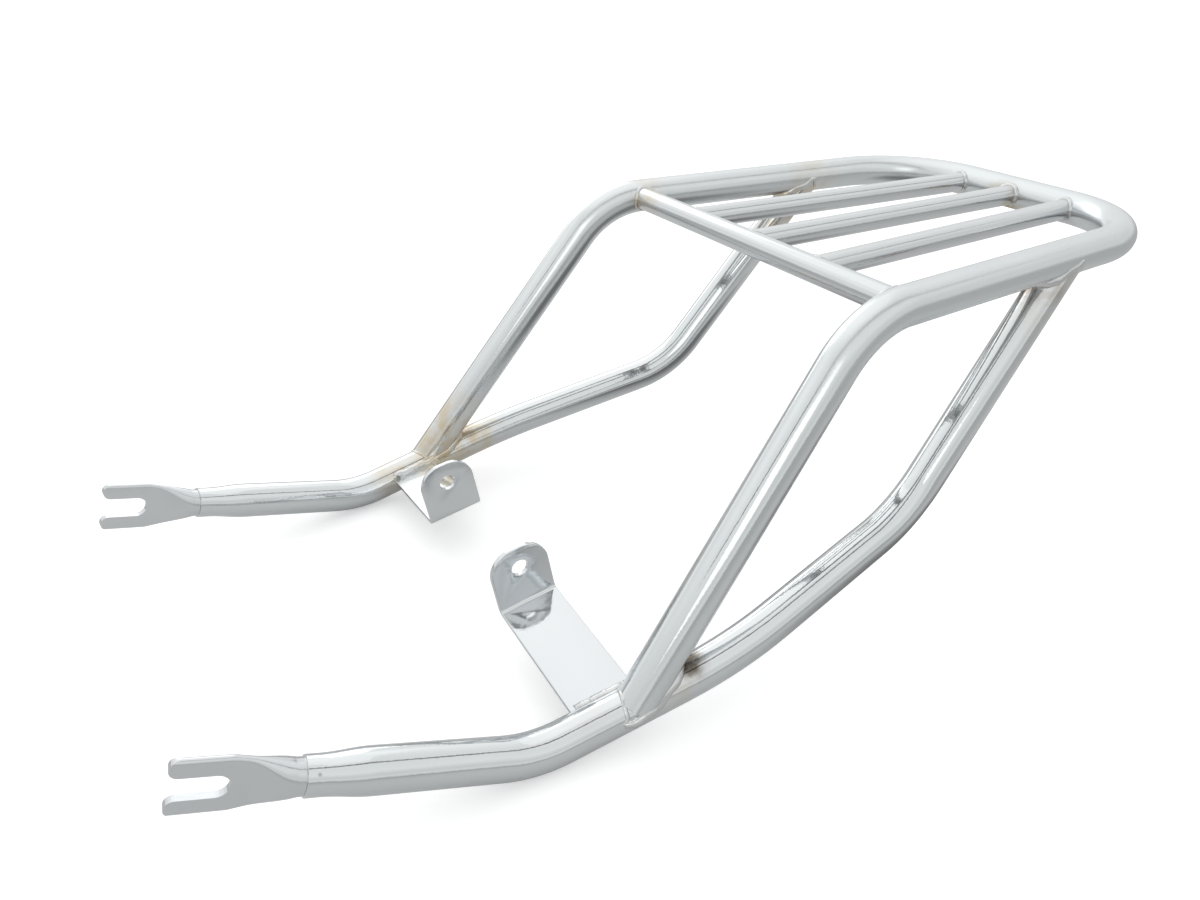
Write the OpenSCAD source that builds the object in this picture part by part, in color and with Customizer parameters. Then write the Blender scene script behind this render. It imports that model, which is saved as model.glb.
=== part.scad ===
// Chromed tubular luggage rack for the tail of a motorcycle.
// X runs to the rear, Y to the right and Z up. The origin lies midway between the two
// bracket bolt holes, on their common axis. Lengths are between tube centre lines.

/* [Frame tube] */
// Outside diameter of the hoop and the lower rails
frame_tube_d = 22; // [20:0.5:25]
// Wall of the hoop and the lower rails
frame_tube_wall = 1.8; // [1.4:0.1:2.5]

/* [Deck] */
// Distance from the front bends to the rear bar
deck_length = 273; // [240:1:320]
// Width of the deck at its front bends
deck_front_width = 256; // [236:1:276]
// Width of the deck at its rear bar
deck_rear_width = 211; // [196:1:231]
// Centre line radius of the two front bends
front_bend_radius = 61; // [45:1:75]
// Centre line radius of the two rear corners
rear_corner_radius = 68; // [50:1:72]
// Distance from the front bends back to the crossbar
crossbar_setback = 27; // [22:1:45]
// Outside diameter of the crossbar
crossbar_d = 15; // [13:0.5:18]
// Wall of the crossbar
crossbar_wall = 1.5; // [1:0.1:2]
// Outside diameter of the three deck slats
slat_d = 14; // [11:0.5:16]
// Wall of the deck slats
slat_wall = 1.2; // [1:0.1:2]
// Spacing of the slats where they meet the crossbar
slat_front_spacing = 58; // [45:1:68]
// Spacing of the slats where they meet the rear bar
slat_rear_spacing = 44; // [34:1:48]

/* [Legs] */
// Distance that the feet of the legs lie ahead of the front bends
leg_foot_ahead = 140; // [134:1:146]

/* [Lower rails] */
// Distance that the front ends lie ahead of the front bends of the deck
rail_end_ahead = 299; // [280:1:320]
// Width between the front ends
rail_end_width = 253; // [240:1:266]
// Drop of the front ends below the deck
rail_end_drop = 155; // [145:1:165]
// Distance that the low bends lie ahead of the front bends of the deck
low_bend_ahead = 195; // [190:1:205]
// Width between the low bends
low_bend_width = 278; // [264:1:292]
// Drop of the low bends below the deck
low_bend_drop = 188; // [178:1:198]
// Centre line radius of the low bends
low_bend_radius = 68; // [50:1:80]
// Distance that the widest points lie ahead of the front bends of the deck
widest_ahead = 81; // [75:1:87]
// Width between the widest points
widest_width = 293; // [279:1:307]
// Drop of the widest points below the deck
widest_drop = 167; // [157:1:177]
// Centre line radius of the gentle bends at the widest points
widest_bend_radius = 300; // [240:5:330]
// Distance that the rear bends lie behind the front bends of the deck
rear_bend_behind = 58; // [48:1:68]
// Width between the rear bends
rear_bend_width = 250; // [236:1:264]
// Drop of the rear bends below the deck
rear_bend_drop = 137; // [127:1:147]
// Centre line radius of the rear bends
rear_bend_radius = 76; // [60:1:90]
// Distance that the tops of the stays lie behind the front bends of the deck
stay_top_behind = 172; // [155:1:185]

/* [Fork tips] */
// Outside diameter of the swaged front end of each lower rail
neck_d = 20; // [18:0.5:20]
// Length of the swaged front end
neck_length = 12; // [8:1:20]
// Length of the taper behind the swaged end
neck_taper = 16; // [10:1:25]
// Reach of a fork tip ahead of the end of its rail
fork_reach = 55; // [50:1:65]
// Width over the two tines
fork_width = 29.5; // [27:0.5:34]
// Thickness of the flattened tip
fork_thickness = 4; // [3:0.5:6]
// Width of the open slot
slot_width = 12; // [10:0.5:14]
// Depth of the slot from the ends of the tines
slot_depth = 25; // [20:1:28]
// Length of the spigot inside the rail
spigot_length = 14; // [10:1:20]
// Radial gap between the spigot and the bore of the rail
spigot_clearance = 0.1; // [0.05:0.05:0.2]

/* [Side brackets] */
// Distance that the brackets lie ahead of the front bends of the deck
bracket_ahead = 151.5; // [148:0.5:155]
// Width of the strap
strap_width = 35; // [30:1:40]
// Thickness of the plate
plate_thickness = 3; // [2:0.5:4]
// Height of the strap's outer end above the centre line of its rail
strap_lift = 3; // [0:0.5:5]
// Rise of the strap towards its fold in degrees
strap_tilt = 7; // [0:0.5:10]
// Spacing of the two upright tabs, middle to middle
tab_spacing = 104; // [90:1:120]
// Height of the top of a tab above the centre line of the rail
tab_top = 52; // [48:1:58]
// Radius of the two upper corners of a tab
tab_corner = 15; // [8:1:17]
// Inside radius of the fold between strap and tab
fold_radius = 2.5; // [1:0.5:5]
// Diameter of the bolt hole
bolt_hole_d = 10; // [7:0.5:12]
// Height of the bolt hole above the centre line of the rail
bolt_rise = 38.5; // [35:0.5:40]

/* [Welds] */
// Leg of the weld beads on the frame tube
frame_weld = 3; // [2:0.5:4]
// Leg of the weld beads on the crossbar and the slats
slat_weld = 2; // [1.5:0.5:3]

/* [Hidden] */
$fn = 48;

chrome = [0.80, 0.82, 0.84];
tinted = [0.74, 0.70, 0.60];
left = -1;
right = 1;

// A straight and its bend stop this far short of each other, and a ball this much fatter joins them
joint_gap = 0.2;
joint_swell = 0.03;
// How far pieces of one solid are run into each other
lap = 0.5;
// How far a bore or a hole is carried past the metal that it opens
cut_over = 20;
// The share of a weld's leg that lies along the tube that carries it
weld_share = 0.8;
// How far from the middle of the lower rail or the deck side a frame weld ends
weld_end_short = 4;
// Flats round the fold of a bracket
fold_steps = 8;
// Facets round the section of the flattened part of a fork tip
fork_facets = 32;
fork_sections = 4;
// Length of a fork tip that stays round, and of the flat left behind its slot
fork_round = 5;
fork_web = 5;

frame_r = frame_tube_d / 2;
frame_bore_r = frame_r - frame_tube_wall;
neck_r = neck_d / 2;
crossbar_r = crossbar_d / 2;
slat_r = slat_d / 2;

// Points of the frame, seen from the middle of the line between the front bends
function front_bend(side) = [0, side * deck_front_width / 2, 0];
function rear_corner(side) = [deck_length, side * deck_rear_width / 2, 0];
function rail_end(side) = [-rail_end_ahead, side * rail_end_width / 2, -rail_end_drop];
function low_bend(side) = [-low_bend_ahead, side * low_bend_width / 2, -low_bend_drop];
function widest(side) = [-widest_ahead, side * widest_width / 2, -widest_drop];
function rear_bend(side) = [rear_bend_behind, side * rear_bend_width / 2, -rear_bend_drop];
function at_x(a, b, x) = a + (b - a) * (x - a[0]) / (b[0] - a[0]);
function leg_foot(side) = at_x(low_bend(side), widest(side), -leg_foot_ahead);
function stay_top(side) = at_x(front_bend(side), rear_corner(side), stay_top_behind);
function crossbar_end(side) = at_x(front_bend(side), rear_corner(side), crossbar_setback);

hoop_path = [
    leg_foot(left), front_bend(left), rear_corner(left),
    rear_corner(right), front_bend(right), leg_foot(right)
];
hoop_radii = [0, front_bend_radius, rear_corner_radius, rear_corner_radius, front_bend_radius, 0];
function rail_start(side) =
    rail_end(side) + (neck_length + neck_taper) * unit(low_bend(side) - rail_end(side));
function rail_path(side) =
    [rail_start(side), low_bend(side), widest(side), rear_bend(side), stay_top(side)];
rail_radii = [0, low_bend_radius, widest_bend_radius, rear_bend_radius, 0];

// Where the brackets stand, and the bolt axis that the whole rack is drawn from
bracket_slope = atan((low_bend_drop - widest_drop) / (low_bend_ahead - widest_ahead));
function bracket_seat(side) = at_x(low_bend(side), widest(side), -bracket_ahead);
bolt_x = -bracket_ahead - bolt_rise * sin(bracket_slope);
bolt_z = bracket_seat(right)[2] + bolt_rise * cos(bracket_slope);

// Directions along a path of corner points
function unit(v) = v / norm(v);
function unit_arc(angle) = [cos(angle), sin(angle)];
function across(v, axis) = unit(v - (v * axis) * axis);
function heading(path, i) = unit(path[i + 1] - path[i]);
function bend(path, i) = acos(heading(path, i - 1) * heading(path, i));

// Length of straight that a bend takes from each side of its corner
function setback(path, radii, i) =
    i == 0 || i == len(path) - 1 ? 0 : radii[i] * tan(bend(path, i) / 2);
function feed(path, radii, i) =
    norm(path[i + 1] - path[i]) - setback(path, radii, i) - setback(path, radii, i + 1);

// Turn about the tube's own axis between one bend and the next
function roll(path, i) =
    i == 0 ? 0
    : let (
        axis = heading(path, i),
        old = -across(heading(path, i - 1), axis),
        new = across(heading(path, i + 1), axis)
    )
    atan2(axis * cross(old, new), old * new);

// The same path with both of its ends carried on in a straight line
function stretched(path, by) = [
    for (i = [0 : len(path) - 1])
        i == 0 ? path[0] - by * heading(path, 0)
        : i == len(path) - 1 ? path[i] + by * heading(path, i - 1)
        : path[i]
];

module at_bolt_axis() {
    translate([-bolt_x, 0, -bolt_z]) children();
}

// Puts what is drawn along Z at a place, pointing along z and with its X towards x
module set_out(place, z, x) {
    y = cross(z, x);
    multmatrix([
        [x[0], y[0], z[0], place[0]],
        [x[1], y[1], z[1], place[1]],
        [x[2], y[2], z[2], place[2]],
        [0, 0, 0, 1]
    ]) children();
}

// A bent round bar, laid out as a tube bender makes it: feed, roll, bend and feed again.
// A ball a hair fatter than the bar joins each straight to its bend across a narrow gap
module bent_run(path, radii, r, i = 0) {
    first = i == 0;
    last = i == len(path) - 2;
    straight = feed(path, radii, i);
    gap_in = first ? 0 : joint_gap;
    gap_out = last ? 0 : joint_gap;
    translate([0, 0, gap_in]) cylinder(h = straight - gap_in - gap_out, r = r);
    if (!last)
        translate([0, 0, straight]) rotate([0, 0, roll(path, i)]) {
            bend_r = radii[i + 1];
            angle = bend(path, i + 1);
            gap_angle = joint_gap / bend_r * 180 / PI;
            sphere(r = r + joint_swell);
            translate([bend_r, 0, 0]) rotate([90, 0, 180]) rotate([0, 0, gap_angle])
                rotate_extrude(angle = angle - 2 * gap_angle) translate([bend_r, 0]) circle(r = r);
            translate([bend_r, 0, 0]) rotate([0, angle, 0]) translate([-bend_r, 0, 0]) {
                sphere(r = r + joint_swell);
                bent_run(path, radii, r, i + 1);
            }
        }
}

module bent_bar(path, radii, r) {
    z = heading(path, 0);
    set_out(path[0], z, across(heading(path, 1), z)) bent_run(path, radii, r);
}

module rod(a, b, r) {
    z = unit(b - a);
    set_out(a, z, across([0, 0, 1], z)) cylinder(h = norm(b - a), r = r);
}

// The solid outlines that other pieces are coped to
module hoop_side_bar(side, r) {
    path = [leg_foot(side), front_bend(side), rear_corner(side)];
    bent_bar(path, [0, front_bend_radius, 0], r);
}
module leg_bar(side, r) {
    rod(leg_foot(side), front_bend(side), r);
}
module deck_side_bar(side, r) {
    rod(front_bend(side), rear_corner(side), r);
}
module low_rail_bar(side, r) {
    rod(low_bend(side), widest(side), r);
}
module stay_bar(side, r) {
    rod(rear_bend(side), stay_top(side), r);
}
module hoop_rear_bar(r) {
    path = [for (i = [1 : 4]) hoop_path[i]];
    bent_bar(path, [0, rear_corner_radius, rear_corner_radius, 0], r);
}
module crossbar_bar(r) {
    rod(crossbar_end(left), crossbar_end(right), r);
}

// One tube forms both legs, the sides of the deck and its rear bar
module main_hoop() {
    color(chrome) at_bolt_axis() difference() {
        bent_bar(hoop_path, hoop_radii, frame_r);
        bent_bar(stretched(hoop_path, cut_over), hoop_radii, frame_bore_r);
        for (side = [left, right]) low_rail_bar(side, frame_r);
    }
}

// A lower rail with its swaged neck, low bend, gentle splay and steep rear stay
module rail_outline(path, bore) {
    z = heading(path, 0);
    set_out(path[0] - (neck_length + neck_taper) * z, z, across(heading(path, 1), z)) {
        translate([0, 0, bore ? -cut_over : 0])
            cylinder(h = neck_length + (bore ? cut_over : 0), r = neck_r - (bore ? frame_tube_wall : 0));
        translate([0, 0, neck_length])
            cylinder(
                h = neck_taper,
                r1 = neck_r - (bore ? frame_tube_wall : 0),
                r2 = frame_r - (bore ? frame_tube_wall : 0)
            );
        translate([0, 0, neck_length + neck_taper])
            bent_run(path, rail_radii, bore ? frame_bore_r : frame_r);
    }
}
module lower_rail(side) {
    path = rail_path(side);
    open_path = [for (i = [0 : 4]) i < 4 ? path[i] : path[4] + cut_over * heading(path, 3)];
    color(chrome) at_bolt_axis() difference() {
        rail_outline(path, false);
        rail_outline(open_path, true);
        deck_side_bar(side, frame_r);
    }
}

module front_crossbar() {
    color(chrome) at_bolt_axis() difference() {
        crossbar_bar(crossbar_r);
        crossbar_bar(crossbar_r - crossbar_wall);
        for (side = [left, right]) hoop_side_bar(side, frame_r);
    }
}

// Slats run from the crossbar to the rear bar and close in towards the rear
function slat_front(place) = [crossbar_end(right)[0], place * slat_front_spacing, 0];
function slat_rear(place) = [deck_length, place * slat_rear_spacing, 0];
module slat_bar(place, r) {
    rod(slat_front(place), slat_rear(place), r);
}
module deck_slat(place) {
    color(chrome) at_bolt_axis() difference() {
        slat_bar(place, slat_r);
        slat_bar(place, slat_r - slat_wall);
        crossbar_bar(crossbar_r);
        hoop_rear_bar(frame_r);
    }
}

// The section of a fork tip at a share of its length from round to flat
function blend(from, to, share) = from + (to - from) * share * share * (3 - 2 * share);
function flat_oval(width, thickness) = [
    for (k = [0 : fork_facets - 1])
        let (a = (k + 0.5) * 360 / fork_facets)
        [
            thickness / 2 * cos(a),
            thickness / 2 * sin(a) + sign(sin(a)) * (width - thickness) / 2
        ]
];
spigot_r = neck_r - frame_tube_wall - spigot_clearance;
fork_flat_from = fork_reach - slot_depth - fork_web;
tine = (fork_width - slot_width) / 2;

module fork_section(share) {
    section = flat_oval(
        blend(2 * spigot_r, fork_width, share) - 2 * joint_swell,
        blend(2 * spigot_r, fork_thickness, share) - 2 * joint_swell
    );
    from = fork_round - 2 * lap;
    to = fork_flat_from + 2 * lap;
    translate([0, 0, from + (to - from) * share]) linear_extrude(joint_swell) polygon(section);
}

// The flat end: two round-ended tines beside a slot with a half-round bottom
module fork_blade() {
    length = fork_reach - fork_flat_from;
    rotate([90, 0, 90]) translate([0, fork_flat_from, -fork_thickness / 2])
        linear_extrude(fork_thickness) difference() {
            union() {
                translate([-fork_width / 2, 0]) square([fork_width, length - tine / 2]);
                for (side = [left, right])
                    translate([side * (slot_width + tine) / 2, length - tine / 2]) circle(r = tine / 2);
            }
            translate([-slot_width / 2, length - slot_depth + slot_width / 2])
                square([slot_width, slot_depth]);
            translate([0, length - slot_depth + slot_width / 2]) circle(r = slot_width / 2);
        }
}

// A fork tip is a short tube, flattened and slotted, that plugs into the neck of its rail
module fork_tip(side) {
    ahead = unit(rail_end(side) - low_bend(side));
    sideways = unit(cross([0, 0, 1], ahead));
    color(chrome) at_bolt_axis() set_out(rail_end(side), ahead, sideways) {
        translate([0, 0, -spigot_length]) cylinder(h = spigot_length + fork_round, r = spigot_r);
        for (i = [0 : fork_sections - 1])
            hull() {
                fork_section(i / fork_sections);
                fork_section((i + 1) / fork_sections);
            }
        fork_blade();
    }
}

// A folded plate: the strap lies on its rail, and the tab stands up at its inner end
module bracket_frame(side) {
    seat = bracket_seat(side);
    translate([seat[0], 0, seat[2]]) rotate([0, -bracket_slope, 0]) children();
}

// The section through strap, fold and tab, as one outline from the top of the tab round and back
module folded_section(outer_y) {
    inner_y = tab_spacing / 2 - plate_thickness / 2;
    fold_outer = fold_radius + plate_thickness;
    fold_y = inner_y + fold_outer;
    strap_length = (outer_y - fold_y) / cos(strap_tilt);
    fold_z = strap_lift + strap_length * sin(strap_tilt)
        + (fold_outer - plate_thickness / 2) / cos(strap_tilt);
    sweep = 90 - strap_tilt;
    along = strap_length * [cos(strap_tilt), -sin(strap_tilt)];
    outside = [for (k = [0 : fold_steps]) fold_outer * unit_arc(180 + sweep * k / fold_steps)];
    inside = [for (k = [fold_steps : -1 : 0]) fold_radius * unit_arc(180 + sweep * k / fold_steps)];
    top = tab_top - fold_z;
    translate([fold_y, fold_z]) polygon(concat(
        [[-fold_outer, top]], outside,
        [outside[fold_steps] + along, inside[0] + along], inside, [[-fold_radius, top]]
    ));
}
module strap_slab(side) {
    outer_y = bracket_seat(right)[1] - frame_bore_r / 2;
    bracket_frame(side) mirror([0, side == left ? 1 : 0, 0])
        translate([-strap_width / 2, 0, 0]) rotate([90, 0, 90])
            linear_extrude(strap_width) folded_section(outer_y);
}
module tab_corner_waste() {
    for (end = [left, right])
        translate([end * (strap_width / 2 - tab_corner), cut_over, tab_top - tab_corner])
            rotate([90, 0, 0]) linear_extrude(tab_spacing) difference() {
                translate([end > 0 ? 0 : -tab_corner * 2, 0]) square(tab_corner * 2);
                circle(r = tab_corner);
            }
}
module side_bracket(side) {
    color(chrome) at_bolt_axis() difference() {
        strap_slab(side);
        bracket_frame(side) mirror([0, side == left ? 1 : 0, 0]) {
            translate([0, tab_spacing, 0]) tab_corner_waste();
            translate([0, 0, bolt_rise]) rotate([-90, 0, 0]) cylinder(h = tab_spacing, r = bolt_hole_d / 2);
        }
        low_rail_bar(side, frame_r);
        leg_bar(side, frame_r);
    }
}

// A bead fills the corner between two bars: it is what both of them, grown by its leg, share
module leg_weld(side) {
    from = leg_foot(side) + weld_end_short * unit(front_bend(side) - leg_foot(side));
    color(tinted) at_bolt_axis() difference() {
        intersection() {
            rod(from, front_bend(side), frame_r + frame_weld);
            low_rail_bar(side, frame_r + frame_weld * weld_share);
        }
        leg_bar(side, frame_r);
        low_rail_bar(side, frame_r);
        strap_slab(side);
    }
}
module stay_weld(side) {
    to = stay_top(side) + weld_end_short * unit(rear_bend(side) - stay_top(side));
    color(tinted) at_bolt_axis() difference() {
        intersection() {
            rod(rear_bend(side), to, frame_r + frame_weld);
            deck_side_bar(side, frame_r + frame_weld * weld_share);
        }
        stay_bar(side, frame_r);
        deck_side_bar(side, frame_r);
    }
}
module bracket_weld(side) {
    seat = bracket_seat(side);
    along = heading([low_bend(side), widest(side)], 0);
    top = strap_lift + plate_thickness / 2 + frame_bore_r / 2 * tan(strap_tilt);
    reach = sqrt(frame_r * frame_r - top * top);
    rise = top + frame_weld / 3;
    edge = seat + [-rise * sin(bracket_slope), -side * reach, rise * cos(bracket_slope)];
    half = strap_width / 2 - frame_weld;
    color(tinted) at_bolt_axis() difference() {
        rod(edge - along * half, edge + along * half, frame_weld);
        strap_slab(side);
        low_rail_bar(side, frame_r);
        leg_bar(side, frame_r + frame_weld);
    }
}
module crossbar_weld(side) {
    end = crossbar_end(side);
    color(tinted) at_bolt_axis() difference() {
        intersection() {
            rod(end, [end[0], 0, 0], crossbar_r + slat_weld);
            hoop_side_bar(side, frame_r + slat_weld * weld_share);
        }
        crossbar_bar(crossbar_r);
        hoop_side_bar(side, frame_r);
    }
}
module slat_front_weld(place) {
    from = slat_front(place);
    along = unit(slat_rear(place) - from);
    color(tinted) at_bolt_axis() difference() {
        intersection() {
            rod(from + along * slat_weld, slat_rear(place), slat_r + slat_weld);
            crossbar_bar(crossbar_r + slat_weld * weld_share);
        }
        slat_bar(place, slat_r);
        crossbar_bar(crossbar_r);
    }
}
module slat_rear_weld(place) {
    color(tinted) at_bolt_axis() difference() {
        intersection() {
            slat_bar(place, slat_r + slat_weld);
            hoop_rear_bar(frame_r + slat_weld * weld_share);
        }
        slat_bar(place, slat_r);
        hoop_rear_bar(frame_r);
    }
}

main_hoop();
lower_rail(left);  // lower_rail_left
lower_rail(right);  // lower_rail_right
front_crossbar();
deck_slat(left);  // deck_slat_left
deck_slat(0);  // deck_slat_middle
deck_slat(right);  // deck_slat_right
fork_tip(left);  // fork_tip_left
fork_tip(right);  // fork_tip_right
side_bracket(left);  // side_bracket_left
side_bracket(right);  // side_bracket_right
leg_weld(left);  // leg_weld_left
leg_weld(right);  // leg_weld_right
stay_weld(left);  // stay_weld_left
stay_weld(right);  // stay_weld_right
bracket_weld(left);  // bracket_weld_left
bracket_weld(right);  // bracket_weld_right
crossbar_weld(left);  // crossbar_weld_left
crossbar_weld(right);  // crossbar_weld_right
slat_front_weld(left);  // slat_front_weld_left
slat_front_weld(0);  // slat_front_weld_middle
slat_front_weld(right);  // slat_front_weld_right
slat_rear_weld(left);  // slat_rear_weld_left
slat_rear_weld(0);  // slat_rear_weld_middle
slat_rear_weld(right);  // slat_rear_weld_right
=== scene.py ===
import math
import bmesh
import bpy
from mathutils import Matrix, Vector


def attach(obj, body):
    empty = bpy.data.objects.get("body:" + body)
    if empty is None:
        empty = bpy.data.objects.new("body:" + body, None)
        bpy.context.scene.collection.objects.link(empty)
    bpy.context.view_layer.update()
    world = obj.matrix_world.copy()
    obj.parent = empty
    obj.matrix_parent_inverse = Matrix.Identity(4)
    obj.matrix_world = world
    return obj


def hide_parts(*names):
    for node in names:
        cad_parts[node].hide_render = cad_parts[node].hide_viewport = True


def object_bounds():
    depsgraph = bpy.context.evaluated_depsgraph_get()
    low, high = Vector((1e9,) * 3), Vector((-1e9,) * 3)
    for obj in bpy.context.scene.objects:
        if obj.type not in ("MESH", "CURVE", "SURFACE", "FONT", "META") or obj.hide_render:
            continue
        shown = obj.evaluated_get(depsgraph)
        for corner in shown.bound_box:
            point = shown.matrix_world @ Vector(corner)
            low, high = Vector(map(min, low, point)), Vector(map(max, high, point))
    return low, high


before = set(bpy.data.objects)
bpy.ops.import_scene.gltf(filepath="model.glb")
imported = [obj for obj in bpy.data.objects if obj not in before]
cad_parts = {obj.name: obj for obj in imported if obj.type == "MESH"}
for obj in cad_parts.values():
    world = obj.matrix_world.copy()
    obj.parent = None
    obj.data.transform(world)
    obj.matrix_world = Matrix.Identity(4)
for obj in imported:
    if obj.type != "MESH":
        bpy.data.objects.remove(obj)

cad_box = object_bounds()

# Camera: a 28 mm lens about half a metre from the near fork tip, seen from the
# front left and above.
camera_data = bpy.data.cameras.new("studio_camera")
camera_data.lens = 28.15
camera_data.sensor_fit = "HORIZONTAL"
camera_data.sensor_width = 36.0
camera_data.clip_start = 0.01
camera = bpy.data.objects.new("studio_camera", camera_data)
bpy.context.scene.collection.objects.link(camera)
camera_place = Vector((-0.176348, -0.436158, 0.311097))
sight_right = Vector((0.8626, -0.5059, 0.0083))
sight_down = Vector((-0.2419, -0.4269, -0.8714))
sight_ahead = Vector((0.4443, 0.7496, -0.4906))
camera.matrix_world = Matrix((
    (sight_right.x, -sight_down.x, -sight_ahead.x, camera_place.x),
    (sight_right.y, -sight_down.y, -sight_ahead.y, camera_place.y),
    (sight_right.z, -sight_down.z, -sight_ahead.z, camera_place.z),
    (0, 0, 0, 1)))
bpy.context.scene.camera = camera

# Main hoop: one 22 mm steel tube, bent four times on a tube bender into both
# legs, the deck sides and the rear bar, then ground and chrome plated.
# Radii and lengths are in m, and the places given to at() in mm.
tube_radius = 0.011
front_bend_radius = 0.061
rear_bend_radius = 0.068
deck_length = 273
straw = (0.62, 0.47, 0.24)
crotch_shade_and_mark_black = (0.10, 0.08, 0.06)
olive = (0.34, 0.25, 0.08)
plate_tint = (0.735, 0.75, 0.757)


def at(x, y, z):
    """A point given in mm from the front bends of the deck, x to the rear and y to the right."""
    return Vector(((x + 158.475) / 1000, y / 1000, (z + 142.124) / 1000))


def leg_foot(side):
    """Where a leg's centre line meets its rail, on the left (-1) or the right (1)."""
    return at(-140.3, side * 144.4, -176.5)


def front_bend(side):
    """Corner point between a leg and its side of the deck."""
    return at(0, side * 128, 0)


def rear_bend(side):
    """Corner point between a side of the deck and the rear bar."""
    return at(deck_length, side * 105.5, 0)


def clear_selection():
    if bpy.context.mode != "OBJECT":
        bpy.ops.object.mode_set(mode="OBJECT")
    bpy.ops.object.select_all(action="DESELECT")


def take_up(piece):
    """Selects one piece alone and makes it the active one."""
    clear_selection()
    piece.select_set(True)
    bpy.context.view_layer.objects.active = piece


def turned_to(direction):
    """Euler angles that turn +Z to a direction."""
    return direction.to_track_quat("Z", "Y").to_euler()


def grow_ring(value):
    """Extrudes the selected end of a piece by a vector."""
    bpy.ops.mesh.extrude_region_move(TRANSFORM_OT_translate={"value": value})


def settle(piece, angle=40):
    """Applies the place of a piece, closes its doubles and smooths its round faces."""
    take_up(piece)
    bpy.ops.object.transform_apply(location=True, rotation=True, scale=True)
    bpy.ops.object.mode_set(mode="EDIT")
    bpy.ops.mesh.select_all(action="SELECT")
    bpy.ops.mesh.remove_doubles(threshold=0.000005)
    bpy.ops.mesh.normals_make_consistent(inside=False)
    bpy.ops.object.mode_set(mode="OBJECT")
    bpy.ops.object.shade_smooth_by_angle(angle=math.radians(angle))
    return piece


def bend_tube(name, corners, radii, bar_radius, ring=72, neck=None):
    """Feeds a ring straight, turns it round each bend and feeds it on to the end.

    A neck is the radius, length and taper length of a thinner start.
    """
    clear_selection()
    first = (corners[1] - corners[0]).normalized()
    start_radius = neck[0] if neck else bar_radius
    bpy.ops.mesh.primitive_circle_add(vertices=ring, radius=start_radius, fill_type="NGON",
                                      location=corners[0], rotation=turned_to(first))
    tube = bpy.context.active_object
    tube.name = name
    bpy.ops.object.transform_apply(location=True, rotation=True, scale=False)
    bpy.ops.object.mode_set(mode="EDIT")
    bpy.ops.mesh.select_all(action="SELECT")
    place = corners[0].copy()
    if neck:
        thin_radius, thin_length, taper_length = neck
        grow_ring(first * thin_length)
        place += first * thin_length
        steps = 10
        before = thin_radius
        for step in range(1, steps + 1):
            share = (1 - math.cos(math.pi * step / steps)) / 2
            after = thin_radius + (bar_radius - thin_radius) * share
            grow_ring(first * taper_length / steps)
            place += first * taper_length / steps
            bpy.ops.transform.resize(value=[after / before] * 3, center_override=place)
            before = after
    for number in range(1, len(corners)):
        heading = (corners[number] - place).normalized()
        if number == len(corners) - 1:
            grow_ring(corners[number] - place)
            break
        ahead = (corners[number + 1] - corners[number]).normalized()
        turn = heading.angle(ahead)
        setback = radii[number] * math.tan(turn / 2)
        tangent = corners[number] - heading * setback
        grow_ring(tangent - place)
        axis = heading.cross(ahead).normalized()
        centre = tangent + axis.cross(heading) * radii[number]
        steps = max(6, int(math.degrees(turn) / 1.5))
        bpy.ops.mesh.spin(steps=steps, dupli=False, angle=-turn, center=centre, axis=axis)
        place = corners[number] + ahead * setback
    bpy.ops.object.mode_set(mode="OBJECT")
    return tube


def speckle(tree, place, scale, detail):
    """Noise in the piece's own coordinates."""
    noise = tree.nodes.new("ShaderNodeTexNoise")
    noise.inputs["Scale"].default_value = scale
    noise.inputs["Detail"].default_value = detail
    tree.links.new(place, noise.inputs["Vector"])
    return noise.outputs["Fac"]


def graded(tree, value, low, high, at_low, at_high, smooth=False):
    """Passes from at_low to at_high while a value runs from low to high."""
    node = tree.nodes.new("ShaderNodeMapRange")
    if smooth:
        node.interpolation_type = "SMOOTHSTEP"
    node.inputs["From Min"].default_value = low
    node.inputs["From Max"].default_value = high
    node.inputs["To Min"].default_value = at_low
    node.inputs["To Max"].default_value = at_high
    tree.links.new(value, node.inputs["Value"])
    return node.outputs["Result"]


def worked_out(tree, operation, first, second):
    """Adds or multiplies two values, or takes the larger."""
    node = tree.nodes.new("ShaderNodeMath")
    node.operation = operation
    tree.links.new(first, node.inputs[0])
    tree.links.new(second, node.inputs[1])
    return node.outputs["Value"]


def distance_to(tree, place, spot):
    """How far each point lies from a spot."""
    node = tree.nodes.new("ShaderNodeVectorMath")
    node.operation = "DISTANCE"
    node.inputs[1].default_value = spot
    tree.links.new(place, node.inputs[0])
    return node.outputs["Value"]


def blend(tree, share, first, second):
    """Passes from a first colour to a second, each a colour or another node's output."""
    node = tree.nodes.new("ShaderNodeMix")
    node.data_type = "RGBA"
    tree.links.new(share, node.inputs["Factor"])
    for socket, colour in (("A", first), ("B", second)):
        if isinstance(colour, tuple):
            node.inputs[socket].default_value = (*colour, 1)
        else:
            tree.links.new(colour, node.inputs[socket])
    return node.outputs["Result"]


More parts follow.
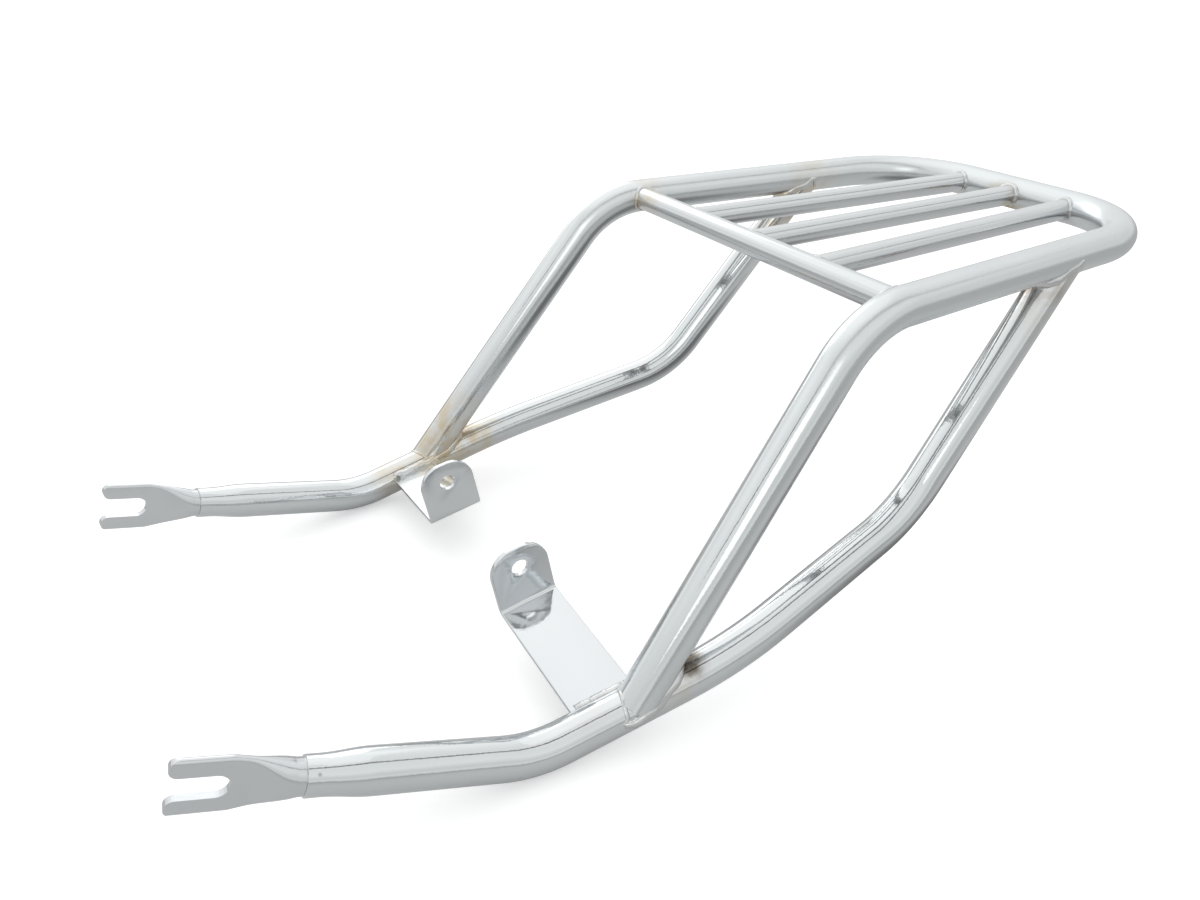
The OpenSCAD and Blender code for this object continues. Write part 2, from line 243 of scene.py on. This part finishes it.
def plated_steel(name, tint, rough, tints_and_painted_shade=(), grain=0.0, satin=0.0):
    """Chrome plate: a faint haze, fine pits, a satin grind on the deck, heat tint by the welds, and painted
    shade in crotches and under the rear bar.

    Each spot, of heat tint or of painted shade, is a place, its reach, its strength and its tint.
    """
    finish = bpy.data.materials.new(name)
    finish.use_nodes = True
    tree = finish.node_tree
    shader = tree.nodes["Principled BSDF"]
    shader.inputs["Metallic"].default_value = 1.0
    place = tree.nodes.new("ShaderNodeTexCoord").outputs["Object"]

    haze = speckle(tree, place, scale=28, detail=5)
    dull = graded(tree, haze, low=0.35, high=0.75, at_low=rough * 0.75, at_high=rough * 1.6)
    height = tree.nodes.new("ShaderNodeSeparateXYZ")
    tree.links.new(place, height.inputs["Vector"])
    ground = graded(tree, height.outputs["Z"], low=0.095, high=0.135, at_low=0, at_high=satin)
    tree.links.new(worked_out(tree, "ADD", dull, ground), shader.inputs["Roughness"])

    colour = blend(tree, haze, tint, (tint[0] * 0.94, tint[1] * 0.96, tint[2] * 0.97))
    patch = speckle(tree, place, scale=90, detail=3)
    uneven = graded(tree, patch, low=0.3, high=0.62, at_low=0, at_high=1)
    # spots of heat tint, and spots of painted shade that darken crotches and the rear bar's underside
    for spot, reach, strength, heat_and_shade_tint in tints_and_painted_shade:
        away = distance_to(tree, place, spot)
        fade = graded(tree, away, low=reach * 0.25, high=reach, at_low=strength, at_high=0, smooth=True)
        colour = blend(tree, worked_out(tree, "MULTIPLY", fade, uneven), colour, heat_and_shade_tint)
    tree.links.new(colour, shader.inputs["Base Color"])

    ripple = tree.nodes.new("ShaderNodeBump")
    ripple.inputs["Strength"].default_value = 0.10 + grain
    ripple.inputs["Distance"].default_value = 0.0004
    tree.links.new(speckle(tree, place, scale=420, detail=4), ripple.inputs["Height"])
    swell = tree.nodes.new("ShaderNodeBump")
    swell.inputs["Strength"].default_value = 0.25
    swell.inputs["Distance"].default_value = 0.0012
    tree.links.new(speckle(tree, place, scale=16, detail=1), swell.inputs["Height"])
    tree.links.new(ripple.outputs["Normal"], swell.inputs["Normal"])
    tree.links.new(swell.outputs["Normal"], shader.inputs["Normal"])
    return finish


hoop_corners = [leg_foot(-1), front_bend(-1), rear_bend(-1), rear_bend(1), front_bend(1), leg_foot(1)]
hoop_bends = [0, front_bend_radius, rear_bend_radius, rear_bend_radius, front_bend_radius, 0]
hoop = bend_tube("bent_hoop", hoop_corners, hoop_bends, tube_radius)
settle(hoop)
hoop_chrome = plated_steel("hoop_chrome", plate_tint, 0.075, [
    # the first three spots are painted golden-brown shade and reflection under the rear bar by the slat
    # welds
    (at(262, 5, -11), 0.024, 1.0, olive),
    (at(264, -44, -12), 0.017, 0.6, (0.34, 0.29, 0.25)),
    (at(264, 44, -12), 0.015, 0.5, (0.34, 0.29, 0.25)),
    (at(30, 122, 0), 0.022, 0.3, straw),
    (at(170, 114, -9), 0.035, 0.35, straw),
    (at(-125, 142, -158), 0.045, 0.6, straw),
    # the last two spots are painted black shade in the crotch of the left leg
    (at(-111, -144, -159), 0.012, 1.0, crotch_shade_and_mark_black),
    (at(-112, -144, -160), 0.008, 1.0, crotch_shade_and_mark_black)], satin=0.17)
hoop.data.materials.append(hoop_chrome)
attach(hoop, "root")
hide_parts("main_hoop")

# Lower rails: a 22 mm tube each side, swaged down at the front for the fork
# tip, bent low, splayed, and bent up into the stay that is welded to the deck.
neck_radius = 0.0093
neck_length = 0.006
neck_taper = 0.024
neck_edge = 0.0004
neck_edge_depth = 0.0003
neck_wall = 0.0006
socket_depth = 0.006
rail_bends = [0, 0.068, 0.3, 0.076, 0]


def rail_points(side):
    """Corner points of a rail: front end, low bend, splay, rear bend and top of the stay."""
    return [at(-299, side * 126.5, -155), at(-195, side * 139, -188), at(-81, side * 146.5, -167),
            at(58, side * 125, -137), at(172, side * 113.82, 0)]


for side, hand in ((-1, "left"), (1, "right")):
    rail_corners = rail_points(side)
    rail = bend_tube("bent_rail_" + hand, rail_corners, rail_bends, tube_radius,
                     neck=(neck_radius, neck_length, neck_taper))
    # the open end: a rolled edge, the wall and the socket that takes the fork tip
    ahead = (rail_corners[0] - rail_corners[1]).normalized()
    bpy.ops.object.mode_set(mode="EDIT")
    bpy.ops.mesh.select_all(action="DESELECT")
    rail_mesh = bmesh.from_edit_mesh(rail.data)
    for face in rail_mesh.faces:
        if len(face.verts) > 4 and (face.calc_center_median() - rail_corners[0]).length < 0.001:
            face.select_set(True)
    bmesh.update_edit_mesh(rail.data)
    bpy.ops.mesh.inset(thickness=neck_edge, depth=neck_edge_depth)
    bpy.ops.mesh.inset(thickness=neck_wall, depth=0.0)
    grow_ring(-ahead * socket_depth)
    settle(rail)
    # the right rail has more heat tint and painted brown shade in the crotch of the leg, the left one
    # painted black shade there; the last spot is a small dark mark on the left neck
    if side < 0:
        joint_reach, joint_heat, stay_heat, bend_heat = 0.026, 0.4, 0.2, 0.1
        crotch_shade_tint, inner_crotch_shade_tint = crotch_shade_and_mark_black, crotch_shade_and_mark_black
    else:
        joint_reach, joint_heat, stay_heat, bend_heat = 0.048, 0.7, 0.5, 0.5
        crotch_shade_tint, inner_crotch_shade_tint = (0.36, 0.29, 0.22), (0.30, 0.23, 0.17)
    heat_and_shade_spots = [(at(-120, side * 141, -162), joint_reach, joint_heat, straw),
                   (at(160, side * 112, -14), 0.060, stay_heat, straw),
                   (at(152, side * 113, -17), 0.018, 0.9, (0.27, 0.19, 0.15)),
                   (at(-165, side * 133, -178), 0.025, bend_heat, straw),
                   (at(-109, side * 145, -161), 0.013, 1.0, crotch_shade_tint),
                   (at(-111, side * 145, -161), 0.009, 1.0, inner_crotch_shade_tint),
                   (at(-293.3, -134.2, -149.9), 0.0014, 0.8, crotch_shade_and_mark_black)]
    rail.data.materials.append(plated_steel("rail_chrome_" + hand, plate_tint, 0.06, heat_and_shade_spots))
    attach(rail, "root")
    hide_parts("lower_rail_" + hand)

# Front crossbar: a thin straight steel tube between the deck sides, coped at
# both ends, welded in and plated with the rest.
crossbar_radius = 0.0075
crossbar_x = 27
crossbar_half = 117
crossbar = bend_tube("thin_crossbar", [at(crossbar_x, -crossbar_half, 0), at(crossbar_x, crossbar_half, 0)],
                     [0, 0], crossbar_radius, ring=48)
settle(crossbar)
slat_chrome = plated_steel("slat_chrome", (0.71, 0.72, 0.725), 0.16, [
    (at(crossbar_x, 112, 0), 0.03, 0.5, straw),
    # the last two spots are painted golden-brown shade under the rear ends of the slats
    (at(262, 0, -9), 0.020, 0.9, (0.38, 0.28, 0.11)),
    (at(265, -44, -8), 0.014, 0.6, (0.30, 0.25, 0.21))])
crossbar.data.materials.append(slat_chrome)
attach(crossbar, "root")
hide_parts("front_crossbar")

# Deck slats: three thin tubes that close in towards the rear bar, each coped
# and welded at both ends.
slat_radius = 0.007
slat_front_x = 29
slat_rear_x = 266
slat_front_spacing = 58
slat_rear_spacing = 44.4
slat_spacing_at_rear_bar = 44
for place, hand in ((-1, "left"), (0, "middle"), (1, "right")):
    slat_ends = [at(slat_front_x, place * slat_front_spacing, 0),
                 at(slat_rear_x, place * slat_rear_spacing, 0)]
    slat = bend_tube("deck_slat_tube_" + hand, slat_ends, [0, 0], slat_radius, ring=48)
    settle(slat)
    slat.data.materials.append(slat_chrome)
    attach(slat, "root")
    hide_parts("deck_slat_" + hand)

# Fork tips: a short tube each side, pressed flat and slotted for a stud, its
# round end plugged into the rail's neck and welded under the plate.
tip_radius = 0.0082
tip_inside_rail = 0.010
tip_half_thick = 0.0020
tip_half_width = 0.0147
tip_length = 0.055
press_start = 0.003
press_step = 0.0015
press_steps = 36
flattening_length = 0.021
widening_start = 0.002
widening_length = 0.028
die_length = 0.075
slot_radius = 0.006
slot_mouth_length = 0.030
slot_bottom = 0.036
tine_end_radius = 0.00425
tip_edge_wear = 0.0009


def stamp(piece, tool, way):
    """Cuts a piece with a tool, or keeps what lies inside it, and puts the tool away."""
    cut = piece.modifiers.new("stamp", "BOOLEAN")
    cut.operation = way
    cut.object = tool
    cut.solver = "EXACT"
    take_up(piece)
    bpy.ops.object.modifier_apply(modifier="stamp")
    bpy.data.objects.remove(tool)


def wear_edges(piece, width):
    """Rounds the sharp edges of a stamped piece."""
    rounding = piece.modifiers.new("worn_edges", "BEVEL")
    rounding.width = width
    rounding.segments = 3
    rounding.limit_method = "ANGLE"
    rounding.angle_limit = math.radians(40)
    bpy.ops.object.modifier_apply(modifier="worn_edges")


for side, hand in ((-1, "left"), (1, "right")):
    rail_end, low_bend = rail_points(side)[:2]
    ahead = (rail_end - low_bend).normalized()
    sideways = Vector((0, 0, 1)).cross(ahead).normalized()
    upwards = ahead.cross(sideways)
    clear_selection()
    bpy.ops.mesh.primitive_circle_add(vertices=64, radius=tip_radius, fill_type="NGON",
                                      location=(0, 0, -tip_inside_rail))
    tip = bpy.context.active_object
    tip.name = "pressed_fork_tip_" + hand
    bpy.ops.object.transform_apply(location=True, rotation=True, scale=True)
    bpy.ops.object.mode_set(mode="EDIT")
    bpy.ops.mesh.select_all(action="SELECT")
    grow_ring((0, 0, tip_inside_rail + press_start))
    for step in range(press_steps):
        grow_ring((0, 0, press_step))
    bpy.ops.object.mode_set(mode="OBJECT")
    # the press: the round tube flattens and widens between 2 and 30 mm from the rail
    for vertex in tip.data.vertices:
        turn = math.atan2(vertex.co.x, vertex.co.y)
        flatter = min(1, max(0, (vertex.co.z - press_start) / flattening_length))
        flatter = flatter * flatter * (3 - 2 * flatter)
        wider = min(1, max(0, (vertex.co.z - widening_start) / widening_length)) ** 0.9
        half_thick = tip_radius + (tip_half_thick - tip_radius) * flatter
        half_width = tip_radius + (tip_half_width - tip_radius) * wider
        level = math.cos(turn)
        shift = 0 if abs(level) < 1e-5 else math.copysign(half_width - half_thick, level)
        vertex.co.x = half_thick * math.sin(turn)
        vertex.co.y = half_thick * level + shift
    # the die that stamps the outline: the slot with its round bottom, and the round tine ends
    clear_selection()
    bpy.ops.mesh.primitive_cube_add(size=1, location=(0, 0, tip_length - die_length / 2),
                                    scale=(0.030, tip_half_width * 2, die_length))
    die = bpy.context.active_object
    clear_selection()
    bpy.ops.mesh.primitive_cylinder_add(vertices=64, radius=slot_radius, depth=0.04,
                                        location=(0, 0, slot_bottom), rotation=(0, math.pi / 2, 0))
    slot_end = bpy.context.active_object
    clear_selection()
    bpy.ops.mesh.primitive_cube_add(size=1, location=(0, 0, slot_bottom + slot_mouth_length / 2),
                                    scale=(0.04, slot_radius * 2, slot_mouth_length))
    slot_mouth = bpy.context.active_object
    stamp(die, slot_end, "DIFFERENCE")
    stamp(die, slot_mouth, "DIFFERENCE")
    take_up(die)
    bpy.ops.object.transform_apply(location=True, rotation=True, scale=True)
    bpy.ops.object.mode_set(mode="EDIT")
    bpy.ops.mesh.select_all(action="DESELECT")
    die_mesh = bmesh.from_edit_mesh(die.data)
    for edge in die_mesh.edges:
        one, other = (vertex.co for vertex in edge.verts)
        if min(one.z, other.z) > tip_length - 0.0001 and abs(one.y - other.y) < 1e-6:
            edge.select_set(True)
    bmesh.update_edit_mesh(die.data)
    bpy.ops.mesh.bevel(offset=tine_end_radius, segments=12)
    bpy.ops.object.mode_set(mode="OBJECT")
    stamp(tip, die, "INTERSECT")
    tip.matrix_world = Matrix((
        (sideways.x, upwards.x, ahead.x, rail_end.x),
        (sideways.y, upwards.y, ahead.y, rail_end.y),
        (sideways.z, upwards.z, ahead.z, rail_end.z),
        (0, 0, 0, 1)))
    settle(tip, 35)
    wear_edges(tip, tip_edge_wear)
    bpy.ops.object.shade_smooth_by_angle(angle=math.radians(35))
    tip.data.materials.append(plated_steel("fork_tip_chrome_" + hand, (0.70, 0.71, 0.72), 0.17,
                                           [(at(-304, side * 126, -156), 0.010, 0.2, straw)], grain=0.05))
    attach(tip, "root")
    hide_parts("fork_tip_" + hand)

# Side brackets: 3 mm steel strap, folded once, its outer end welded along the
# rail and its upright tab drilled for an M8 bolt.
plate_thick = 0.003
strap_width = 0.035
strap_end_height = 0.003
tab_top = 0.052
tab_middle = 0.0325
tab_height = 0.039
tab_half_gap = 0.052
tab_corner_radius = 0.015
fold_radius = 0.004
bolt_hole_radius = 0.005
bolt_hole_height = 0.0385
strap_edge_wear = 0.0004
seat_x = -151.5
seat_z = -179.987
rail_half_at_seat = 141.862
strap_short_of_axis = 4.6
rail_slope = math.atan2(21, 114)
strap_tilt = math.radians(7)
strap_reach = (rail_half_at_seat - strap_short_of_axis) / 1000 - tab_half_gap - fold_radius
fold_height = strap_end_height + strap_reach * math.tan(strap_tilt) + fold_radius / math.cos(strap_tilt)
for side, hand in ((-1, "left"), (1, "right")):
    clear_selection()
    bpy.ops.mesh.primitive_plane_add(size=1, location=(0, tab_half_gap, tab_middle),
                                     rotation=(math.pi / 2, 0, 0))
    # the tab with its two round corners, the fold, and the strap that runs out to the rail
    strap = bpy.context.active_object
    strap.name = "folded_bracket_" + hand
    strap.dimensions = (strap_width, tab_height, 0)
    bpy.ops.object.transform_apply(location=True, rotation=True, scale=True)
    bpy.ops.object.mode_set(mode="EDIT")
    bpy.ops.mesh.select_all(action="DESELECT")
    strap_mesh = bmesh.from_edit_mesh(strap.data)
    for vertex in strap_mesh.verts:
        upper = vertex.co.z > tab_middle
        vertex.co.z = tab_top if upper else fold_height
        vertex.select_set(upper)
    strap_mesh.select_flush(True)
    bmesh.update_edit_mesh(strap.data)
    bpy.ops.mesh.bevel(affect="VERTICES", offset=tab_corner_radius, segments=16)
    bpy.ops.mesh.select_all(action="DESELECT")
    strap_mesh = bmesh.from_edit_mesh(strap.data)
    for edge in strap_mesh.edges:
        if all(abs(vertex.co.z - fold_height) < 1e-6 for vertex in edge.verts):
            edge.select_set(True)
    bmesh.update_edit_mesh(strap.data)
    bpy.ops.mesh.spin(steps=12, dupli=False, angle=strap_tilt - math.pi / 2,
                      center=(0, tab_half_gap + fold_radius, fold_height), axis=(1, 0, 0))
    grow_ring((0, strap_reach, -strap_reach * math.tan(strap_tilt)))
    take_up(strap)
    wall = strap.modifiers.new("plate", "SOLIDIFY")
    wall.thickness = plate_thick
    wall.offset = 0
    bpy.ops.object.modifier_apply(modifier="plate")
    clear_selection()
    bpy.ops.mesh.primitive_cylinder_add(vertices=64, radius=bolt_hole_radius, depth=0.02,
                                        location=(0, tab_half_gap, bolt_hole_height),
                                        rotation=(math.pi / 2, 0, 0))
    drill = bpy.context.active_object
    stamp(strap, drill, "DIFFERENCE")
    wear_edges(strap, strap_edge_wear)
    seat = Matrix.Translation(at(seat_x, 0, seat_z))
    strap.matrix_world = seat @ Matrix.Rotation(-rail_slope, 4, "Y") @ Matrix.Diagonal((1, side, 1, 1))
    settle(strap, 30)
    strap.data.materials.append(plated_steel("bracket_chrome_" + hand, (0.735, 0.75, 0.76), 0.09))
    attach(strap, "root")
    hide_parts("side_bracket_" + hand)

# Welds: hand-laid beads round every joint, lapped like scales, plated over and
# left with a golden heat tint where the plate is thin, with painted shade under
# the middle slat's rear weld and in the crotches of the legs.
leg_bead_width = 0.0036
bracket_bead_width = 0.0032
crossbar_bead_width = 0.0020
slat_front_bead_width = 0.0018
slat_rear_bead_width = 0.0021
middle_rear_bead_width = 0.0024
deck_half_at_crossbar = 125.77
lap_length = 0.0045
bracket_bead_points = 60
bracket_bead_length = 0.029
bracket_bead_height = 0.0052
rail_splay = 0.0658


def meeting_line(root, tip, thin, low, high, thick, count=160):
    """The line where a round bar from root to tip leaves a round bar from low to high.

    Each point comes with its outward direction, the fullness of the weld there and its lift.
    """
    along = (tip - root).normalized()
    rail = (high - low).normalized()
    level = along.cross(rail).normalized()
    across = level.cross(along)
    slant = along - rail * along.dot(rail)
    line = []
    for number in range(count):
        turn = math.radians(360 * number / count)
        out = across * math.cos(turn) + level * math.sin(turn)
        offset = root + out * thin - low
        flat = offset - rail * offset.dot(rail)
        a = slant.dot(slant)
        b = 2 * flat.dot(slant)
        c = flat.dot(flat) - thick * thick
        reach = (-b + math.sqrt(max(0, b * b - 4 * a * c))) / (2 * a)
        point = root + out * thin + along * reach
        foot = point - low
        up = (foot - rail * foot.dot(rail)).normalized()
        full = 0.8 + 0.9 * out.dot(rail) * along.dot(rail)
        line.append((point, (up + out).normalized(), min(1.0, max(0.5, full)), 0.55 * (1 - up.dot(out))))
    return line


def lay_bead(name, line, width, closed, sink=0.45, seed=0):
    """Sweeps a round bead along a line, with the lapped swells that a welder leaves."""
    clear_selection()
    bpy.ops.curve.primitive_bezier_curve_add()
    bead = bpy.context.active_object
    bead.name = name
    bead.data.splines.remove(bead.data.splines[0])
    spline = bead.data.splines.new("POLY")
    spline.points.add(len(line) - 1)
    spline.use_cyclic_u = closed
    run = 0.0
    for number, (point, outward, full, lift) in enumerate(line):
        if number:
            run += (point - line[number - 1][0]).length
        lap = math.sin(run / lap_length * math.pi + 0.6 * math.sin(run * 500 + seed)) ** 2
        size = width * full * (0.94 + 0.06 * lap + 0.05 * math.sin(run * 310 + seed))
        ahead = line[(number + 1) % len(line)][0] - line[number - 1][0]
        sway = ahead.cross(outward).normalized() * width * 0.16 * math.sin(run * 420 + 2 * seed)
        centre = point + outward * size * (lift - sink) + sway
        spline.points[number].co = (centre.x, centre.y, centre.z, 1)
        spline.points[number].radius = size / width
    bead.data.bevel_depth = width
    bead.data.bevel_resolution = 6
    bead.data.use_fill_caps = not closed
    bead.data.dimensions = "3D"
    bpy.ops.object.convert(target="MESH")
    bead = bpy.context.active_object
    return settle(bead, 60)


bead_chrome = plated_steel("bead_chrome", (0.68, 0.68, 0.67), 0.19, [
    (at(-128, 142, -160), 0.040, 0.7, straw),
    # painted golden-brown shade under the middle slat's rear weld
    (at(262, 0, -11), 0.018, 0.9, (0.40, 0.29, 0.13)),
    (at(27, 117, 0), 0.02, 0.5, straw),
    (at(160, 112, -14), 0.04, 0.5, straw),
    # painted shade in the crotches of the legs, black on the left and brown on the right
    (at(-111, -144, -160), 0.012, 1.0, crotch_shade_and_mark_black),
    (at(-112, 144, -160), 0.014, 0.9, (0.36, 0.28, 0.20))], grain=0.5)
for side, hand in ((-1, "left"), (1, "right")):
    low_bend, splay, rail_rear_bend, stay_top = rail_points(side)[1:]
    leg_line = meeting_line(leg_foot(side), front_bend(side), tube_radius, low_bend, splay, tube_radius)
    bead = lay_bead("leg_bead_" + hand, leg_line, leg_bead_width, True, sink=0.74, seed=side)
    bead.data.materials.append(bead_chrome)
    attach(bead, "root")
    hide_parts("leg_weld_" + hand)

    stay_line = meeting_line(stay_top, rail_rear_bend, tube_radius,
                             front_bend(side), rear_bend(side), tube_radius)
    bead = lay_bead("stay_bead_" + hand, stay_line, leg_bead_width, True, sink=0.74, seed=2 + side)
    bead.data.materials.append(bead_chrome)
    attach(bead, "root")
    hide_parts("stay_weld_" + hand)

    # along the strap's end, a little above the rail's axis
    edge_line = []
    upright = Vector((-math.sin(rail_slope), 0, math.cos(rail_slope)))
    forward = Vector((math.cos(rail_slope), side * rail_splay, math.sin(rail_slope)))
    inward = Vector((0, -side, 0))
    for number in range(bracket_bead_points):
        across = bracket_bead_length * (number / (bracket_bead_points - 1) - 0.5)
        height = bracket_bead_height + 0.0003 * math.sin(number * 0.31 + side)
        out = math.sqrt(tube_radius ** 2 - height ** 2)
        point = (at(seat_x, side * rail_half_at_seat, seat_z)
                 + forward * across + upright * height + inward * out)
        edge_line.append((point, (upright + inward) * 0.7, 1.0, 0.0))
    bead = lay_bead("bracket_bead_" + hand, edge_line, bracket_bead_width, False, sink=0.1, seed=4 + side)
    bead.data.materials.append(bead_chrome)
    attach(bead, "root")
    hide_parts("bracket_weld_" + hand)

    bar_line = meeting_line(at(crossbar_x, side * deck_half_at_crossbar, 0), at(crossbar_x, 0, 0),
                            crossbar_radius, front_bend(side), rear_bend(side), tube_radius, count=120)
    bead = lay_bead("crossbar_bead_" + hand, bar_line, crossbar_bead_width, True, seed=6 + side)
    bead.data.materials.append(bead_chrome)
    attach(bead, "root")
    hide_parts("crossbar_weld_" + hand)

for place, hand in ((-1, "left"), (0, "middle"), (1, "right")):
    slat_front = at(crossbar_x, place * slat_front_spacing, 0)
    slat_rear = at(deck_length, place * slat_spacing_at_rear_bar, 0)
    front_line = meeting_line(slat_front, slat_rear, slat_radius, at(crossbar_x, -120, 0),
                              at(crossbar_x, 120, 0), crossbar_radius, count=110)
    bead = lay_bead("slat_front_bead_" + hand, front_line, slat_front_bead_width, True, seed=8 + place)
    bead.data.materials.append(bead_chrome)
    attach(bead, "root")
    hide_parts("slat_front_weld_" + hand)

    rear_line = meeting_line(slat_rear, slat_front, slat_radius, at(deck_length, -100, 0),
                             at(deck_length, 100, 0), tube_radius, count=110)
    rear_width = middle_rear_bead_width if place == 0 else slat_rear_bead_width
    bead = lay_bead("slat_rear_bead_" + hand, rear_line, rear_width, True, seed=11 + place)
    bead.data.materials.append(bead_chrome)
    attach(bead, "root")
    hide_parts("slat_rear_weld_" + hand)

# Studio: a pale paper floor and white surroundings, soft lamps overhead, in
# front and behind, and a dark flag that draws the thin line along bright chrome.
white = (1, 1, 1, 1)
paper_tone = (0.86, 0.86, 0.86)
deck_shadow = (0.19, -0.11, 0)


def seen_directly(tree):
    """1 for what the camera sees itself or through glass, 0 for light and reflections."""
    ray = tree.nodes.new("ShaderNodeLightPath")
    return worked_out(tree, "MAXIMUM", ray.outputs["Is Camera Ray"], ray.outputs["Is Transmission Ray"])


clear_selection()
bpy.ops.mesh.primitive_plane_add(size=30, location=(0.08, 0.05, cad_box[0][2] - 0.001))
floor = bpy.context.active_object
floor.name = "studio_floor"
paper = bpy.data.materials.new("floor_paper")
paper.use_nodes = True
tree = paper.node_tree
shader = tree.nodes["Principled BSDF"]
shader.inputs["Roughness"].default_value = 0.95
shader.inputs["Specular IOR Level"].default_value = 0.0
# in the chrome the paper shows darker, the more so further off, with a painted shadow under the deck
place = tree.nodes.new("ShaderNodeTexCoord").outputs["Object"]
far = distance_to(tree, place, (0, 0, 0))
dull = graded(tree, far, low=0.05, high=0.90, at_low=0.62, at_high=0.46, smooth=True)
under = distance_to(tree, place, deck_shadow)
shade = graded(tree, under, low=0.06, high=0.23, at_low=0.28, at_high=1.0, smooth=True)
in_chrome = tree.nodes.new("ShaderNodeLightPath").outputs["Is Glossy Ray"]
tone = blend(tree, in_chrome, paper_tone, worked_out(tree, "MULTIPLY", dull, shade))
tree.links.new(tone, shader.inputs["Base Color"])
lift = graded(tree, seen_directly(tree), low=0, high=1, at_low=0.04, at_high=0.34)
shader.inputs["Emission Color"].default_value = white
tree.links.new(lift, shader.inputs["Emission Strength"])
floor.data.materials.append(paper)

world = bpy.data.worlds.new("white_studio")
bpy.context.scene.world = world
world.use_nodes = True
tree = world.node_tree
height = tree.nodes.new("ShaderNodeSeparateXYZ")
tree.links.new(tree.nodes.new("ShaderNodeTexCoord").outputs["Generated"], height.inputs["Vector"])
walls = tree.nodes.new("ShaderNodeValToRGB")
for position, grey in ((0.0, 0.44), (0.12, 0.54), (0.30, 0.76), (0.55, 0.96), (0.80, 0.92), (1.0, 0.86)):
    if position in (0.0, 1.0):
        stop = walls.color_ramp.elements[int(position)]
    else:
        stop = walls.color_ramp.elements.new(position)
    stop.color = (grey * 0.985, grey, grey, 1)
tree.links.new(height.outputs["Z"], walls.inputs["Fac"])
# the rear of the room is the brighter
brighter = tree.nodes.new("ShaderNodeVectorMath")
brighter.operation = "SCALE"
tree.links.new(walls.outputs["Color"], brighter.inputs["Vector"])
rear = graded(tree, height.outputs["Y"], low=0, high=1, at_low=1.0, at_high=1.28)
tree.links.new(rear, brighter.inputs["Scale"])
backdrop = blend(tree, seen_directly(tree), brighter.outputs["Vector"], (1, 1, 1))
tree.links.new(backdrop, tree.nodes["Background"].inputs["Color"])
tree.nodes["Background"].inputs["Strength"].default_value = 1.0

clear_selection()
bpy.ops.mesh.primitive_plane_add(size=1, location=(0.1, -0.62, 1.65))
flag = bpy.context.active_object
flag.name = "overhead_flag"
flag.rotation_euler = turned_to(Vector((0.1, 0, 0)) - flag.location)
flag.scale = (5.0, 0.19, 1)
cloth = bpy.data.materials.new("flag_cloth")
cloth.use_nodes = True
tree = cloth.node_tree
shader = tree.nodes["Principled BSDF"]
weave = tree.nodes.new("ShaderNodeTexNoise")
weave.inputs["Scale"].default_value = 6
shader.inputs["Base Color"].default_value = (0, 0, 0, 1)
shader.inputs["Emission Color"].default_value = white
grey = graded(tree, weave.outputs["Fac"], low=0, high=1, at_low=0.10, at_high=0.45)
tree.links.new(grey, shader.inputs["Emission Strength"])
flag.data.materials.append(cloth)
flag.visible_camera = False
flag.visible_diffuse = False
flag.visible_shadow = False

lamp_target = Vector((0.1, 0, 0.05))
for name, place, size, power in (("overhead_softbox", (0.25, 0.62, 1.6), 1.6, 1.1),
                                 ("front_softbox", (-0.9, -1.4, 1.0), 0.8, 1.2),
                                 ("rear_softbox", (0.4, 1.9, 0.95), 1.3, 3.6)):
    lamp_data = bpy.data.lights.new(name, "AREA")
    lamp_data.size = size
    lamp_data.energy = power
    lamp = bpy.data.objects.new(name, lamp_data)
    bpy.context.scene.collection.objects.link(lamp)
    lamp.location = place
    lamp.rotation_euler = (lamp_target - lamp.location).to_track_quat("-Z", "Y").to_euler()

bpy.context.scene.view_settings.view_transform = "Standard"
